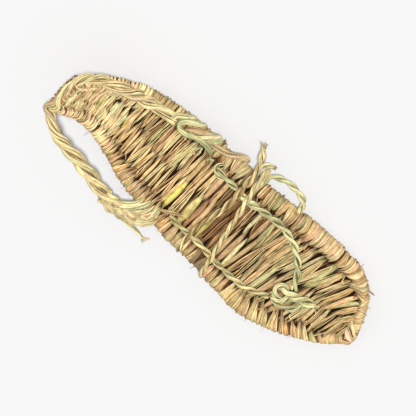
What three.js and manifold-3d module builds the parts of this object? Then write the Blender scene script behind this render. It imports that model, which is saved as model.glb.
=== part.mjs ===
// Straw sandal: a woven sole with a cupped, turned-up heel, a thick twisted heel strap,
// thin cords across the instep and along the foot to a knot behind the toe, a side loop
// and a cut cord end.
// Millimetres. +X points to the toe, +Y to the wearer's left, +Z up, and the floor is z = 0.

import * as THREE from 'three';
import Module from 'manifold-3d';

const wasm = await Module();
wasm.setup();

const TOE_X = 141;
const TOE_SPRING = 4;
const TOE_SPRING_RUN = 40;
const HEEL_BEND_X = -74;
const HEEL_BEND_RADIUS = 70;
const HEEL_BEND_ANGLE = THREE.MathUtils.degToRad(58);
const SOLE_LENGTH = 298;

const ROW_STEP = 2.8;
const TOE_TIP_STEP = 1.2;
const RIM_RIB = 0.7;
const BED_RIB = 0.9;
const RIB_FADE = 10;

const GROOVE_X = 13;
const GROOVE_SLANT = -0.19;
const GROOVE_HALF_WIDTH = 6;
const GROOVE_DEPTH = 3.2;
const GROOVE_NOTCH = 0.04;

const CLEARANCE = 0.3;
const SHORTEST_EDGE = 0.02;

const THICK_CORD = { plies: 3, lobe: 0.26, pitch: 45, step: 5, sides: 12 };
const THIN_CORD = { plies: 2, lobe: 0.24, pitch: 22, step: 3.2, sides: 8 };

// Woven sole, a row per section.
// at: along the middle from the toe tip; left, right: y of the two edges;
// liftLeft, liftRight: how far that edge is cupped up above the middle; thick: at the rim.
const SOLE = [
  { at: 0, left: 8, right: 1, liftLeft: 0, liftRight: 0, thick: 6 },
  { at: 2.5, left: 15, right: -1, liftLeft: 0, liftRight: 0, thick: 8 },
  { at: 8, left: 26.5, right: -6.5, liftLeft: 0, liftRight: 0, thick: 11 },
  { at: 15, left: 37, right: -13.5, liftLeft: 0, liftRight: 0, thick: 12.5 },
  { at: 26, left: 45.5, right: -22, liftLeft: 0, liftRight: 0, thick: 13 },
  { at: 41, left: 50, right: -31.5, liftLeft: 0, liftRight: 0, thick: 13 },
  { at: 55, left: 50.3, right: -38, liftLeft: 0, liftRight: 0, thick: 13 },
  { at: 77, left: 49.4, right: -44.2, liftLeft: 0, liftRight: 0, thick: 13 },
  { at: 106, left: 46.3, right: -43, liftLeft: 0, liftRight: 0, thick: 13 },
  { at: 121, left: 44.8, right: -42, liftLeft: 0, liftRight: 0, thick: 13 },
  { at: 138, left: 43.6, right: -41.6, liftLeft: 0, liftRight: 0, thick: 12.5 },
  { at: 149, left: 45.4, right: -41.8, liftLeft: 0, liftRight: 0, thick: 12.8 },
  { at: 163, left: 42.6, right: -40, liftLeft: 0, liftRight: 0, thick: 12.2 },
  { at: 179, left: 43.2, right: -37.6, liftLeft: 0, liftRight: 0, thick: 12 },
  { at: 194, left: 42.6, right: -36.6, liftLeft: 1, liftRight: 0.5, thick: 12 },
  { at: 209, left: 41.2, right: -33.4, liftLeft: 3, liftRight: 2, thick: 11.5 },
  { at: 224, left: 40, right: -28.6, liftLeft: 7, liftRight: 5, thick: 11 },
  { at: 239, left: 38.4, right: -24.6, liftLeft: 10, liftRight: 7.5, thick: 10 },
  { at: 256, left: 34.2, right: -19.8, liftLeft: 11, liftRight: 8, thick: 9.5 },
  { at: 273, left: 28.6, right: -18.6, liftLeft: 8, liftRight: 6, thick: 10 },
  { at: 285, left: 23, right: -19.6, liftLeft: 5, liftRight: 5, thick: 11.5 },
  { at: 293, left: 17.6, right: -20.2, liftLeft: 3, liftRight: 4, thick: 11.5 },
  { at: 298, left: 12.4, right: -18.6, liftLeft: 2, liftRight: 3, thick: 7 },
];

// Half of the section, from the middle to the edge.
// across: share of the half width; height: share of the thickness; rib: how the strips are raised.
const PROFILE_TOP = [
  { across: 0, height: 0.8, rib: 0 },
  { across: 0.16, height: 0.85, rib: BED_RIB },
  { across: 0.34, height: 0.87, rib: BED_RIB },
  { across: 0.5, height: 0.85, rib: BED_RIB },
  { across: 0.61, height: 0.78, rib: 0 },
  { across: 0.7, height: 0.92, rib: -RIM_RIB },
  { across: 0.81, height: 1, rib: -RIM_RIB },
  { across: 0.92, height: 0.91, rib: -RIM_RIB },
  { across: 0.98, height: 0.72, rib: -RIM_RIB },
];
const PROFILE_UNDER = [
  { across: 1, height: 0.45, rib: -RIM_RIB },
  { across: 0.96, height: 0.18, rib: 0 },
  { across: 0.86, height: 0, rib: 0 },
  { across: 0.45, height: 0, rib: 0 },
];

// Heel strap where it is bound to the left rim and along the back edge of the heel,
// from the left ear to the right corner of the heel, placed on the sole.
const STRAP_BOUND = [
  { at: 161, across: 0.93, height: 13, radius: 2.6 },
  { at: 174, across: 0.9, height: 15, radius: 4.4 },
  { at: 189, across: 0.84, height: 16, radius: 5 },
  { at: 203, across: 0.8, height: 15.6, radius: 5 },
  { at: 216, across: 0.82, height: 14.2, radius: 4.2 },
  { at: 230, across: 0.82, height: 13.4, radius: 3.8 },
  { at: 245, across: 0.87, height: 12.2, radius: 3.7 },
  { at: 259, across: 0.93, height: 10.6, radius: 3.6 },
  { at: 272, across: 0.97, height: 9.2, radius: 3.4 },
  { at: 283, across: 1.03, height: 7.6, radius: 3.1 },
  { at: 291, across: 1.1, height: 6.6, radius: 2.8 },
  { at: 296.5, across: 1.09, height: 6.2, radius: 2.6 },
  { at: 298, across: 0.84, height: 6.4, radius: 2.4 },
  { at: 298, across: 0.44, height: 6.8, radius: 2.4 },
  { at: 298, across: 0, height: 7.2, radius: 2.4 },
  { at: 298, across: -0.4, height: 7.6, radius: 2.6 },
  { at: 296.5, across: -0.78, height: 7.8, radius: 3.2 },
];

// Heel strap where it runs free on the right, from the corner of the heel to the right ear.
const STRAP_FREE = [
  { x: -129.5, y: -22.5, z: 43.5, radius: 4.2 },
  { x: -119, y: -29.4, z: 41.5, radius: 4.6 },
  { x: -104, y: -33.6, z: 37, radius: 4.8 },
  { x: -89, y: -36.8, z: 32.5, radius: 5 },
  { x: -75, y: -40.6, z: 28, radius: 5.2 },
  { x: -63, y: -44.2, z: 24.5, radius: 5.4 },
  { x: -52.5, y: -46.4, z: 21, radius: 5.4 },
  { x: -43.5, y: -45.2, z: 18.4, radius: 5 },
  { x: -36, y: -41.4, z: 16.6, radius: 4.4 },
  { x: -30, y: -36.8, z: 15.2, radius: 3.4 },
  { x: -26, y: -32.6, z: 14, radius: 2.6 },
];

// Thin cords. Each row is a point that the cord passes through.
const INSTEP_FRONT = [
  { x: 10.6, y: 55.4, z: 14.2, radius: 2.5 },
  { x: 10.4, y: 50.6, z: 15.6, radius: 2.4 },
  { x: 11, y: 45.4, z: 17.6, radius: 2.3 },
  { x: 12.2, y: 37, z: 18.8, radius: 2.3 },
  { x: 15.2, y: 22.8, z: 20.6, radius: 2.3 },
  { x: 18.6, y: 8, z: 22.2, radius: 2.3 },
  { x: 21.6, y: -7, z: 21.8, radius: 2.3 },
  { x: 24.4, y: -21, z: 19, radius: 2.3 },
  { x: 26.8, y: -32.6, z: 16.8, radius: 2.3 },
  { x: 28, y: -39, z: 14.6, radius: 2.3 },
  { x: 28.6, y: -41.6, z: 11, radius: 2 },
];
const INSTEP_REAR = [
  { x: 5.8, y: 32.6, z: 18.6, radius: 2.8 },
  { x: 6.6, y: 19, z: 20.4, radius: 2.7 },
  { x: 5.6, y: 6, z: 21.2, radius: 2.6 },
  { x: 2.8, y: -7, z: 20.4, radius: 2.3 },
  { x: 1.6, y: -19, z: 18.4, radius: 2.1 },
  { x: 2.6, y: -30, z: 16.8, radius: 2 },
  { x: 3.6, y: -36.6, z: 14.8, radius: 2 },
  { x: 4, y: -39.8, z: 11.6, radius: 2 },
];
const SIDE_CORD_LEFT = [
  { x: -19, y: 27.6, z: 11.4, radius: 2 },
  { x: -9, y: 26.6, z: 13.2, radius: 2.3 },
  { x: 0, y: 27.2, z: 15, radius: 2.3 },
  { x: 6.5, y: 27.6, z: 16.8, radius: 2.3 },
  { x: 14.4, y: 27.4, z: 17.6, radius: 2.3 },
  { x: 24, y: 28, z: 14.2, radius: 2.3 },
  { x: 35, y: 29.4, z: 12.8, radius: 2.3 },
  { x: 46, y: 30.4, z: 12.8, radius: 2.3 },
  { x: 56, y: 28.4, z: 13, radius: 2.3 },
  { x: 64, y: 25.2, z: 13.6, radius: 2.3 },
  { x: 71, y: 20.4, z: 14, radius: 2.3 },
  { x: 78.4, y: 12.4, z: 14.4, radius: 2.3 },
  { x: 84.2, y: 2.6, z: 15.3, radius: 2.3 },
];
const SIDE_CORD_RIGHT = [
  { x: -18.5, y: -24.6, z: 11.2, radius: 2 },
  { x: -9, y: -24.8, z: 13, radius: 2.3 },
  { x: 2, y: -23.4, z: 15.4, radius: 2.3 },
  { x: 12, y: -23.4, z: 14.4, radius: 2.3 },
  { x: 24.6, y: -23.8, z: 16.2, radius: 2.3 },
  { x: 34, y: -24.8, z: 13.4, radius: 2.3 },
  { x: 46, y: -24.8, z: 12.8, radius: 2.3 },
  { x: 58, y: -23.2, z: 13, radius: 2.3 },
  { x: 66, y: -19.4, z: 13.6, radius: 2.3 },
  { x: 74.6, y: -14, z: 14.2, radius: 2.3 },
];
const KNOT_LOOP = [
  { x: 84.8, y: 0.8, z: 15.4, radius: 2.3 },
  { x: 85.6, y: -4.2, z: 15.4, radius: 2.3 },
  { x: 83.2, y: -9.4, z: 14.8, radius: 2.4 },
  { x: 79, y: -11.2, z: 14.4, radius: 2.5 },
  { x: 75, y: -8.8, z: 14.4, radius: 2.5 },
  { x: 74.5, y: -4.2, z: 14.8, radius: 2.5 },
  { x: 77.6, y: -1, z: 15.6, radius: 2.5 },
  { x: 82.2, y: -2, z: 17, radius: 2.5 },
  { x: 87, y: -0.8, z: 17, radius: 2.6 },
  { x: 92, y: 1.4, z: 16, radius: 2.9 },
  { x: 97.4, y: 3.4, z: 15, radius: 3 },
  { x: 103, y: 5.2, z: 14.4, radius: 2.4 },
];
const KNOT_TAIL = [
  { x: 75.6, y: -13.6, z: 14.2, radius: 2.3 },
  { x: 80, y: -12.6, z: 14.2, radius: 2.3 },
  { x: 86, y: -11.4, z: 14, radius: 2.3 },
  { x: 91.4, y: -7.6, z: 13.8, radius: 2.3 },
  { x: 96, y: -2.6, z: 13.8, radius: 2 },
];
const SIDE_LOOP = [
  { x: 13.6, y: 41, z: 10, radius: 2 },
  { x: 14.4, y: 51, z: 12.4, radius: 2.3 },
  { x: 21, y: 56.4, z: 13.4, radius: 2.3 },
  { x: 29, y: 58.4, z: 14, radius: 2.3 },
  { x: 37.5, y: 58.2, z: 13.6, radius: 2.3 },
  { x: 44.4, y: 55, z: 12, radius: 2.3 },
  { x: 47.4, y: 45.4, z: 9, radius: 2 },
];
const CORD_END = [
  { x: 5.6, y: 33.4, z: 18.6, radius: 2.8 },
  { x: 5.4, y: 41, z: 18, radius: 2.8 },
  { x: 4.6, y: 49, z: 17, radius: 2.7 },
  { x: 1.6, y: 56, z: 16.4, radius: 2.7 },
  { x: -2, y: 61.4, z: 15.8, radius: 2.6 },
  { x: -4.6, y: 65.4, z: 15.4, radius: 2.3 },
];

const STRAW = { color: 0xcfae76, roughness: 0.78, metalness: 0 };
const PALE_STRAW = { color: 0xdcc78c, roughness: 0.72, metalness: 0 };
const GREEN_STRAW = { color: 0xcfc88f, roughness: 0.72, metalness: 0 };

function slope(rows, i, column) {
  return (rows[i + 1][column] - rows[i][column]) / (rows[i + 1].at - rows[i].at);
}

function tangent(rows, i, column) {
  if (i === 0) return slope(rows, 0, column);
  if (i === rows.length - 1) return slope(rows, i - 1, column);
  const before = slope(rows, i - 1, column);
  const after = slope(rows, i, column);
  if (before * after <= 0) return 0;
  return (2 * before * after) / (before + after);
}

// A column of the section table read anywhere along the sole, with no overshoot between rows.
function read(rows, at, column) {
  const inner = rows.slice(1, -1).filter((row) => row.at <= at).length;
  const from = rows[inner];
  const to = rows[inner + 1];
  const span = to.at - from.at;
  const t = (at - from.at) / span;
  const rise = t * t * (3 - 2 * t);
  const leave = t * (1 - t) * (1 - t) * span * tangent(rows, inner, column);
  const arrive = t * t * (t - 1) * span * tangent(rows, inner + 1, column);
  return from[column] + (to[column] - from[column]) * rise + leave + arrive;
}

// The middle of the underside: flat on the floor, then an arc up to the heel, and a small toe spring.
function underside(at) {
  const flat = TOE_X - HEEL_BEND_X;
  const turn = THREE.MathUtils.clamp((at - flat) / HEEL_BEND_RADIUS, 0, HEEL_BEND_ANGLE);
  const straight = Math.max(0, at - flat - HEEL_BEND_RADIUS * HEEL_BEND_ANGLE);
  const spring = Math.max(0, 1 - at / TOE_SPRING_RUN);
  const x = at < flat ? TOE_X - at : HEEL_BEND_X - HEEL_BEND_RADIUS * Math.sin(turn);
  const z = HEEL_BEND_RADIUS * (1 - Math.cos(turn)) + TOE_SPRING * spring * spring;
  return { x: x - straight * Math.cos(turn), z: z + straight * Math.sin(turn), turn };
}

function groove(x, y) {
  const away = (x - GROOVE_X - GROOVE_SLANT * y) / GROOVE_HALF_WIDTH;
  return Math.exp(-away * away);
}

// A point of the sole: across runs from -1 at the right edge to 1 at the left one,
// and height is measured from the underside, square to the weave.
function onSole(at, across, height) {
  const base = underside(at);
  const left = read(SOLE, at, 'left');
  const right = read(SOLE, at, 'right');
  const half = (left - right) / 2;
  const lift = read(SOLE, at, across > 0 ? 'liftLeft' : 'liftRight');
  const steep = (2 * lift * across) / half;
  const square = 1 / Math.hypot(1, steep);
  const y = (left + right) / 2 + half * across - steep * square * height;
  const rise = lift * across * across + square * height;
  const x = base.x + rise * Math.sin(base.turn);
  return new THREE.Vector3(x, y, base.z + rise * Math.cos(base.turn));
}

function sectionPoint(at, row, side, profile) {
  const thick = read(SOLE, at, 'thick');
  const base = underside(at);
  const edge = read(SOLE, at, profile.across * side > 0 ? 'left' : 'right');
  const cut = groove(base.x, edge * profile.across);
  const fade = Math.min(1, at / RIB_FADE, (SOLE_LENGTH - at) / RIB_FADE);
  const raised = row % 2 ? 1 : -1;
  const height = profile.height * (thick - GROOVE_DEPTH * cut) + raised * side * profile.rib * fade;
  return onSole(at, profile.across * side * (1 - GROOVE_NOTCH * cut), height);
}

// The section as a ring: over the top from right to left, and back along the underside.
function sectionRing(at, row) {
  const overRight = PROFILE_TOP.slice(1).reverse().map((p) => sectionPoint(at, row, -1, p));
  const overLeft = PROFILE_TOP.map((p) => sectionPoint(at, row, 1, p));
  const underLeft = PROFILE_UNDER.map((p) => sectionPoint(at, row, 1, p));
  const underRight = PROFILE_UNDER.slice().reverse().map((p) => sectionPoint(at, row, -1, p));
  return [...overRight, ...overLeft, ...underLeft, ...underRight];
}

// A closed skin over rings of equal length.
function skin(rings) {
  const around = rings[0].length;
  const last = (rings.length - 1) * around;
  const index = [];
  for (let ring = 0; ring < rings.length - 1; ring += 1) {
    for (let i = 0; i < around; i += 1) {
      const a = ring * around + i;
      const b = ring * around + ((i + 1) % around);
      index.push(a, b, a + around, b, b + around, a + around);
    }
  }
  for (const [a, b, c] of capTriangles(rings[0])) index.push(a, c, b);
  for (const [a, b, c] of capTriangles(rings.at(-1))) index.push(last + a, last + b, last + c);
  const geometry = new THREE.BufferGeometry().setFromPoints(rings.flat());
  geometry.setIndex(index);
  return geometry;
}

function capTriangles(ring) {
  const centre = new THREE.Vector3();
  for (const point of ring) centre.addScaledVector(point, 1 / ring.length);
  const normal = new THREE.Vector3();
  ring.forEach((point, i) => {
    const next = ring[(i + 1) % ring.length];
    normal.add(point.clone().sub(centre).cross(next.clone().sub(centre)));
  });
  normal.normalize();
  const u = ring[0].clone().sub(centre).projectOnPlane(normal).normalize();
  const v = normal.clone().cross(u);
  const flat = ring.map((point) => {
    const arm = point.clone().sub(centre);
    return new THREE.Vector2(arm.dot(u), arm.dot(v));
  });
  return THREE.ShapeUtils.triangulateShape(flat, []);
}

function soleGeometry() {
  const rings = [sectionRing(0, 0), sectionRing(TOE_TIP_STEP, 0)];
  const rows = Math.floor(SOLE_LENGTH / ROW_STEP);
  for (let row = 1; row <= rows; row += 1) rings.push(sectionRing((row * SOLE_LENGTH) / rows, row));
  return skin(rings);
}

// A laid cord along a route: a section with a lobe for each ply, that turns to the left as it goes.
function cordGeometry(route, cord, grow = 0) {
  const curve = new THREE.CatmullRomCurve3(route.map((p) => p.centre), false, 'centripetal');
  const steps = Math.round(curve.getLength() / cord.step);
  const frames = curve.computeFrenetFrames(steps, false);
  const rings = [];
  for (let i = 0; i <= steps; i += 1) {
    const place = curve.getUtoTmapping(i / steps) * (route.length - 1);
    const before = Math.min(Math.floor(place), route.length - 2);
    const radius = THREE.MathUtils.lerp(route[before].radius, route[before + 1].radius, place - before);
    const twist = (-2 * Math.PI * curve.getLength() * i) / (steps * cord.pitch);
    const centre = curve.getPointAt(i / steps);
    const ring = [];
    for (let k = 0; k < cord.sides; k += 1) {
      const angle = (2 * Math.PI * k) / cord.sides;
      const reach = radius * (1 - cord.lobe * Math.sin((cord.plies * angle) / 2) ** 2) + grow;
      const point = centre.clone();
      point.addScaledVector(frames.normals[i], reach * Math.cos(angle + twist));
      point.addScaledVector(frames.binormals[i], reach * Math.sin(angle + twist));
      ring.push(point);
    }
    rings.push(ring);
  }
  return skin(rings);
}

function freeRoute(rows) {
  return rows.map((row) => ({ centre: new THREE.Vector3(row.x, row.y, row.z), radius: row.radius }));
}

function boundRoute(rows) {
  return rows.map((row) => ({ centre: onSole(row.at, row.across, row.height), radius: row.radius }));
}

function toManifold(geometry) {
  const vertProperties = new Float32Array(geometry.attributes.position.array);
  const triVerts = new Uint32Array(geometry.index.array);
  return new wasm.Manifold(new wasm.Mesh({ numProp: 3, vertProperties, triVerts }));
}

function toGeometry(manifold) {
  const mesh = manifold.getMesh();
  const geometry = new THREE.BufferGeometry();
  geometry.setAttribute('position', new THREE.BufferAttribute(mesh.vertProperties, 3));
  geometry.setIndex(new THREE.BufferAttribute(mesh.triVerts, 1));
  return geometry;
}

function cords(routes, cord, grow = 0) {
  const solids = routes.map((route) => toManifold(cordGeometry(route, cord, grow)));
  return solids.reduce((all, one) => all.add(one));
}

const strapRoutes = [[...boundRoute(STRAP_BOUND), ...freeRoute(STRAP_FREE)]];
const instepRoutes = [INSTEP_FRONT, INSTEP_REAR, SIDE_CORD_LEFT, SIDE_CORD_RIGHT].map(freeRoute);
const knotRoutes = [KNOT_LOOP, KNOT_TAIL].map(freeRoute);
const loopRoutes = [freeRoute(SIDE_LOOP)];
const endRoutes = [freeRoute(CORD_END)];

const strap = cords(strapRoutes, THICK_CORD);
const instep = cords(instepRoutes, THIN_CORD);
const loop = cords(loopRoutes, THIN_CORD).subtract(cords(instepRoutes, THIN_CORD, CLEARANCE));
const end = cords(endRoutes, THIN_CORD).subtract(cords(instepRoutes, THIN_CORD, CLEARANCE));
const knot = cords(knotRoutes, THIN_CORD).subtract(cords(instepRoutes, THIN_CORD, CLEARANCE));
const sole = [
  cords(strapRoutes, THICK_CORD, CLEARANCE),
  cords(instepRoutes, THIN_CORD, CLEARANCE),
  cords(loopRoutes, THIN_CORD, CLEARANCE),
  cords(endRoutes, THIN_CORD, CLEARANCE),
  cords(knotRoutes, THIN_CORD, CLEARANCE),
].reduce((rest, cord) => rest.subtract(cord), toManifold(soleGeometry()));

const sandal = new THREE.Group();
sandal.name = 'straw_sandal';
const PIECES = [
  { name: 'sole', solid: sole, look: STRAW },
  { name: 'heel_strap', solid: strap, look: PALE_STRAW },
  { name: 'instep_cords', solid: instep, look: GREEN_STRAW },
  { name: 'toe_knot', solid: knot, look: GREEN_STRAW },
  { name: 'side_loop', solid: loop, look: GREEN_STRAW },
  { name: 'cord_end', solid: end, look: GREEN_STRAW },
];
for (const { name, solid, look } of PIECES) {
  const geometry = toGeometry(solid.simplify(SHORTEST_EDGE));
  const mesh = new THREE.Mesh(geometry, new THREE.MeshStandardMaterial(look));
  mesh.name = name;
  sandal.add(mesh);
}

export default sandal;
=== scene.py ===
"""Straw sandal: a woven straw sole with a wrapped rim, a twisted heel strap and thin cords."""
import math

import bpy
import numpy as np
from mathutils import Matrix, Vector


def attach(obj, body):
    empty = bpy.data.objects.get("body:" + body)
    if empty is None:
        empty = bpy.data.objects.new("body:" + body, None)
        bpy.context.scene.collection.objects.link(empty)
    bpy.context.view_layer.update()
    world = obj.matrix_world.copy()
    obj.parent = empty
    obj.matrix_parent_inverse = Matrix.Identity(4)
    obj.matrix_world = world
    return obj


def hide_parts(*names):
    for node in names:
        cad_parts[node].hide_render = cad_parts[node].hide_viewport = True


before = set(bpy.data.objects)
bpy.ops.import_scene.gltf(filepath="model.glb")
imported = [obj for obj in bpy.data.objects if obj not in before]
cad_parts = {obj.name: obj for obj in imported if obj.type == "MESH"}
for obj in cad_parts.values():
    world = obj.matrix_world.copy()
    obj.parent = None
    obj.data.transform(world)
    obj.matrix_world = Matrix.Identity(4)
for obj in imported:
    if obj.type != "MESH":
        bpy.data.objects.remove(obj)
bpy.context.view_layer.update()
MM = 0.001
UP = np.array([0.0, 0.0, 1.0])
rng = np.random.default_rng(11)
uniform, normal = rng.uniform, rng.normal
# The heel strap's unevenness has draws of its own.
strap_rng = np.random.default_rng(5)

# Sizes in millimetres, as in the part's source. Places along the foot are counted from the toe.
TOE_X = 141.0
TOE_SPRING = 4.0
TOE_SPRING_RUN = 40.0
HEEL_BEND_X = -74.0
HEEL_BEND_RADIUS = 70.0
HEEL_BEND_ANGLE = math.radians(58)
SOLE_LENGTH = 298.0
GROOVE_X = 13.0
GROOVE_SLANT = -0.19
GROOVE_HALF_WIDTH = 6.0
GROOVE_DEPTH = 3.2

SOLE_COLUMNS = ("at", "left", "right", "lift_left", "lift_right", "thick")
SOLE_ROWS = (
    (0, 8, 1, 0, 0, 6), (2.5, 15, -1, 0, 0, 8), (8, 26.5, -6.5, 0, 0, 11),
    (15, 37, -13.5, 0, 0, 12.5), (26, 45.5, -22, 0, 0, 13), (41, 50, -31.5, 0, 0, 13),
    (55, 50.3, -38, 0, 0, 13), (77, 49.4, -44.2, 0, 0, 13), (106, 46.3, -43, 0, 0, 13),
    (121, 44.8, -42, 0, 0, 13), (138, 43.6, -41.6, 0, 0, 12.5), (149, 45.4, -41.8, 0, 0, 12.8),
    (163, 42.6, -40, 0, 0, 12.2), (179, 43.2, -37.6, 0, 0, 12), (194, 42.6, -36.6, 1, 0.5, 12),
    (209, 41.2, -33.4, 3, 2, 11.5), (224, 40, -28.6, 7, 5, 11), (239, 38.4, -24.6, 10, 7.5, 10),
    (256, 34.2, -19.8, 11, 8, 9.5), (273, 28.6, -18.6, 8, 6, 10), (285, 23, -19.6, 5, 5, 11.5),
    (293, 17.6, -20.2, 3, 4, 11.5), (298, 12.4, -18.6, 2, 3, 7),
)

# Top of the section: share of the half width, share of the thickness.
TOP_PROFILE = (
    (0, 0.82), (0.16, 0.86), (0.34, 0.88), (0.5, 0.86), (0.61, 0.79), (0.7, 0.92), (0.81, 1.0),
    (0.92, 0.92), (1.0, 0.6),
)
# Round the rim, from the valley to the underside: shares of the way, half width and thickness.
RIM_PROFILE = (
    (0, 0.54, 0.78), (0.12, 0.62, 0.85), (0.25, 0.72, 0.95), (0.36, 0.81, 1.0), (0.5, 0.92, 0.92),
    (0.6, 0.98, 0.72), (0.68, 1.0, 0.46), (0.76, 0.965, 0.19), (0.85, 0.87, 0.03),
    (1.0, 0.66, 0.03),
)

# Routes of the cords: x, y, z, radius.
INSTEP_FRONT = (
    (10.6, 55.4, 14.2, 2.5), (10.4, 50.6, 15.6, 2.4), (11, 45.4, 17.6, 2.3), (12.2, 37, 18.8, 2.3),
    (15.2, 22.8, 20.6, 2.3), (18.6, 8, 22.2, 2.3), (21.6, -7, 21.8, 2.3), (24.4, -21, 19, 2.3),
    (26.8, -32.6, 16.8, 2.3), (28, -39, 14.6, 2.3), (28.6, -41.6, 11, 2),
)
INSTEP_REAR = (
    (5.8, 32.6, 18.6, 2.8), (6.6, 19, 20.4, 2.7), (5.6, 6, 21.2, 2.6), (2.8, -7, 20.4, 2.3),
    (1.6, -19, 18.4, 2.1), (2.6, -30, 16.8, 2), (3.6, -36.6, 14.8, 2), (4, -39.8, 11.6, 2),
)
SIDE_CORD_LEFT = (
    (-19, 27.6, 11.4, 2), (-9, 26.6, 13.2, 2.3), (0, 27.2, 15, 2.3), (6.5, 27.6, 16.8, 2.3),
    (14.4, 27.4, 17.6, 2.3), (24, 28, 14.2, 2.3), (35, 29.4, 12.8, 2.3), (46, 30.4, 12.8, 2.3),
    (56, 28.4, 13, 2.3), (64, 25.2, 13.6, 2.3), (71, 20.4, 14, 2.3), (78.4, 12.4, 14.4, 2.3),
    (84.2, 2.6, 15.3, 2.3),
)
SIDE_CORD_RIGHT = (
    (-18.5, -24.6, 11.2, 2), (-9, -24.8, 13, 2.3), (2, -23.4, 15.4, 2.3), (12, -23.4, 14.4, 2.3),
    (24.6, -23.8, 16.2, 2.3), (34, -24.8, 13.4, 2.3), (46, -24.8, 12.8, 2.3), (58, -23.2, 13, 2.3),
    (66, -19.4, 13.6, 2.3), (74.6, -14, 14.2, 2.3),
)
KNOT_LOOP = (
    (84.8, 0.8, 15.4, 2.3), (85.6, -4.2, 15.4, 2.3), (83.2, -9.4, 14.8, 2.4),
    (79, -11.2, 14.4, 2.5), (75, -8.8, 14.4, 2.5), (74.5, -4.2, 14.8, 2.5), (77.6, -1, 15.6, 2.5),
    (82.2, -2, 17, 2.5), (87, -0.8, 17, 2.6), (92, 1.4, 16, 2.9), (97.4, 3.4, 15, 3),
    (103, 5.2, 14.4, 2.4),
)
KNOT_TAIL = (
    (75.6, -13.6, 14.2, 2), (80.4, -13.8, 14.2, 2), (86.6, -13, 14, 2), (92, -10, 13.8, 2),
    (95.4, -6.2, 13.8, 1.9), (97, -1.8, 13.8, 1.7),
)
SIDE_LOOP = (
    (13.6, 41, 10, 2), (14.4, 51, 12.4, 2.3), (21, 56.4, 13.4, 2.3), (29, 58.4, 14, 2.3),
    (37.5, 58.2, 13.6, 2.3), (44.4, 55, 12, 2.3), (47.4, 45.4, 9, 2),
)
CORD_END = (
    (5.6, 33.4, 18.6, 2.8), (5.4, 41, 18, 2.8), (4.6, 49, 17, 2.7), (1.6, 56, 16.4, 2.7),
    (-2, 61.4, 15.8, 2.6), (-4.6, 65.4, 15.4, 2.3),
)
# The rear instep cord starts under the cut end, so that the two look like one cord.
REAR_START = (5.5, 37.4, 18.3, 2.8)
# Stub beside the cut end of the rear instep cord.
END_STUB = (
    (4, 52.5, 16.5, 2.2), (5.8, 56.2, 17, 2.2), (8.4, 58.3, 16.5, 1.9), (11.7, 59.7, 16, 1.2),
)
# Eye in which the left lengthwise cord starts.
EYE = (
    (-8, 25, 13.2, 1.3), (-14, 24, 13.4, 1.4), (-18.2, 25.6, 13.8, 1.4), (-19.4, 28.6, 14, 1.3),
    (-18.4, 31.4, 13.8, 1.2), (-16, 33.6, 12.6, 1),
)
# Heel strap on the sole: at, across, height, radius; then where it runs free: x, y, z, radius.
STRAP_BOUND = (
    (161, 0.93, 13, 2.6), (174, 0.9, 15, 4.4), (189, 0.84, 16, 5), (203, 0.8, 15.6, 5),
    (216, 0.82, 14.2, 4.2), (230, 0.82, 13.4, 3.8), (245, 0.87, 12.2, 3.7), (259, 0.93, 10.6, 3.6),
    (272, 0.97, 9.2, 3.4), (283, 1.03, 7.6, 3.1), (291, 1.1, 6.6, 2.8), (296.5, 1.09, 6.2, 2.6),
    (298, 0.84, 6.4, 2.4), (298, 0.44, 6.8, 2.4), (298, 0, 7.2, 2.4), (298, -0.4, 7.6, 2.6),
    (296.5, -0.78, 7.8, 3.2),
)
STRAP_FREE = (
    (-129.5, -22.5, 43.5, 4.2), (-119, -29.4, 41.5, 4.6), (-104, -33.6, 37, 4.8),
    (-89, -36.8, 32.5, 5), (-75, -40.6, 28, 5.2), (-63, -44.2, 24.5, 5.4), (-52.5, -46.4, 21, 5.4),
    (-43.5, -45.2, 18.4, 5), (-36, -41.4, 16.6, 4.4), (-30, -36.8, 15.2, 3.4),
    (-26, -32.6, 14, 2.6),
)
# The strap bulges here, where it turns the right corner.
STRAP_CORNER = (-136.4, -17.6, 45.4, 3.8)

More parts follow.
